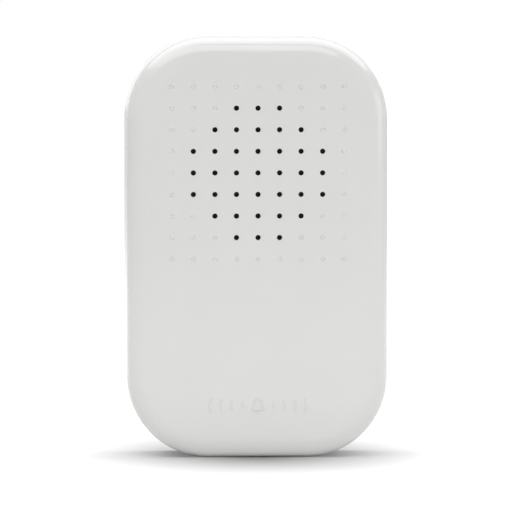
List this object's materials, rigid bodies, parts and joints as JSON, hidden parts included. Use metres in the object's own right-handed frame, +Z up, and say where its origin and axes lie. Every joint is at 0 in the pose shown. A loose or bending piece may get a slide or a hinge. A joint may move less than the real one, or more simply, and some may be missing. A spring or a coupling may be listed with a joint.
{
  "type": "wired door chime",
  "caption": "White wall-hung wired door chime: a deep case with large round corners and a round field of sound holes, over a loudspeaker, tune board and wire terminals.",
  "frame": {"origin": "on the ground under the middle of the case, which stands on its bottom edge", "axes": "+Z up, -Y out of the front face, +Y into the wall, X across the case"},
  "size_m": [0.077, 0.0333, 0.124],
  "materials": {
    "gloss_white_abs": "moulded gloss white",
    "white_abs": "moulded fine satin white",
    "black_cloth": "open black cloth",
    "zinc_steel": "zinc plated sheet",
    "ferrite": "dull dark ferrite",
    "cone_paper": "pressed black pulp",
    "coated_cloth": "doped black cloth",
    "spider_cloth": "resin dipped amber cloth",
    "gasket_card": "dense dark card",
    "copper_winding": "enamelled copper winding",
    "phenolic": "brown fibre board",
    "brass_plate": "bare brass",
    "board_laminate": "green lacquered laminate",
    "green_nylon": "moulded green nylon",
    "black_resin": "moulded black resin",
    "capacitor_sleeve": "shrunk dark blue sleeve",
    "resistor_lacquer": "beige lacquer with bands",
    "tinned_wire": "tinned wire",
    "red_pvc": "soft red insulation",
    "black_pvc": "soft black insulation"
  },
  "bodies": {
    "base": {"base_plate": "white_abs", "speaker_basket": "zinc_steel", "speaker_gasket": "gasket_card", "speaker_surround": "coated_cloth", "speaker_spider": "spider_cloth", "speaker_top_plate": "zinc_steel", "speaker_magnet": "ferrite", "speaker_yoke": "zinc_steel", "speaker_tag_strip": "phenolic", "speaker_tags": "brass_plate", "speaker_screws": "zinc_steel", "circuit_board": "board_laminate", "board_screws": "zinc_steel", "terminal_block": "green_nylon", "terminal_contacts": "brass_plate", "melody_chip": "black_resin", "chip_legs": "tinned_wire", "large_capacitor": "capacitor_sleeve", "small_capacitor": "capacitor_sleeve", "driver_transistor": "black_resin", "component_leads": "tinned_wire", "resistors": "resistor_lacquer", "diode": "black_resin", "axial_leads": "tinned_wire", "red_speaker_lead": "red_pvc", "black_speaker_lead": "black_pvc"},
    "cover": {"front_cover": "gloss_white_abs", "dust_screen": "black_cloth"},
    "diaphragm": {"speaker_cone": "cone_paper", "dust_cap": "cone_paper", "voice_coil": "copper_winding"},
    "screw_left": {"terminal_screw_left": "zinc_steel"},
    "screw_right": {"terminal_screw_right": "zinc_steel"},
    "cage_left": {"terminal_cage_left": "zinc_steel"},
    "cage_right": {"terminal_cage_right": "zinc_steel"}
  },
  "joints": [
    {"name": "cover_pull", "type": "slide", "parent": "base", "child": "cover", "axis": [0, -1, 0], "range_m": [0, 0.035]},
    {"name": "cone_travel", "type": "slide", "parent": "base", "child": "diaphragm", "axis": [0, -1, 0], "range_m": [-0.0005, 0.0005], "stiffness_N_per_m": 1500, "deforming": ["speaker_surround", "speaker_spider"]},
    {"name": "screw_turn_left", "type": "hinge", "parent": "base", "child": "screw_left", "pos_m": [-0.00254, 0, 0.0325], "axis": [0, 1, 0], "range_deg": [0, 720]},
    {"name": "cage_rise_left", "type": "slide", "parent": "base", "child": "cage_left", "axis": [0, -1, 0], "range_m": [0, 0.001]},
    {"name": "screw_turn_right", "type": "hinge", "parent": "base", "child": "screw_right", "pos_m": [0.00254, 0, 0.0325], "axis": [0, 1, 0], "range_deg": [0, 720]},
    {"name": "cage_rise_right", "type": "slide", "parent": "base", "child": "cage_right", "axis": [0, -1, 0], "range_m": [0, 0.001]}
  ],
  "couplings": [
    {"joint": "screw_turn_left", "follows": "cage_rise_left", "rad_per_m": 12566},
    {"joint": "screw_turn_right", "follows": "cage_rise_right", "rad_per_m": 12566}
  ]
}
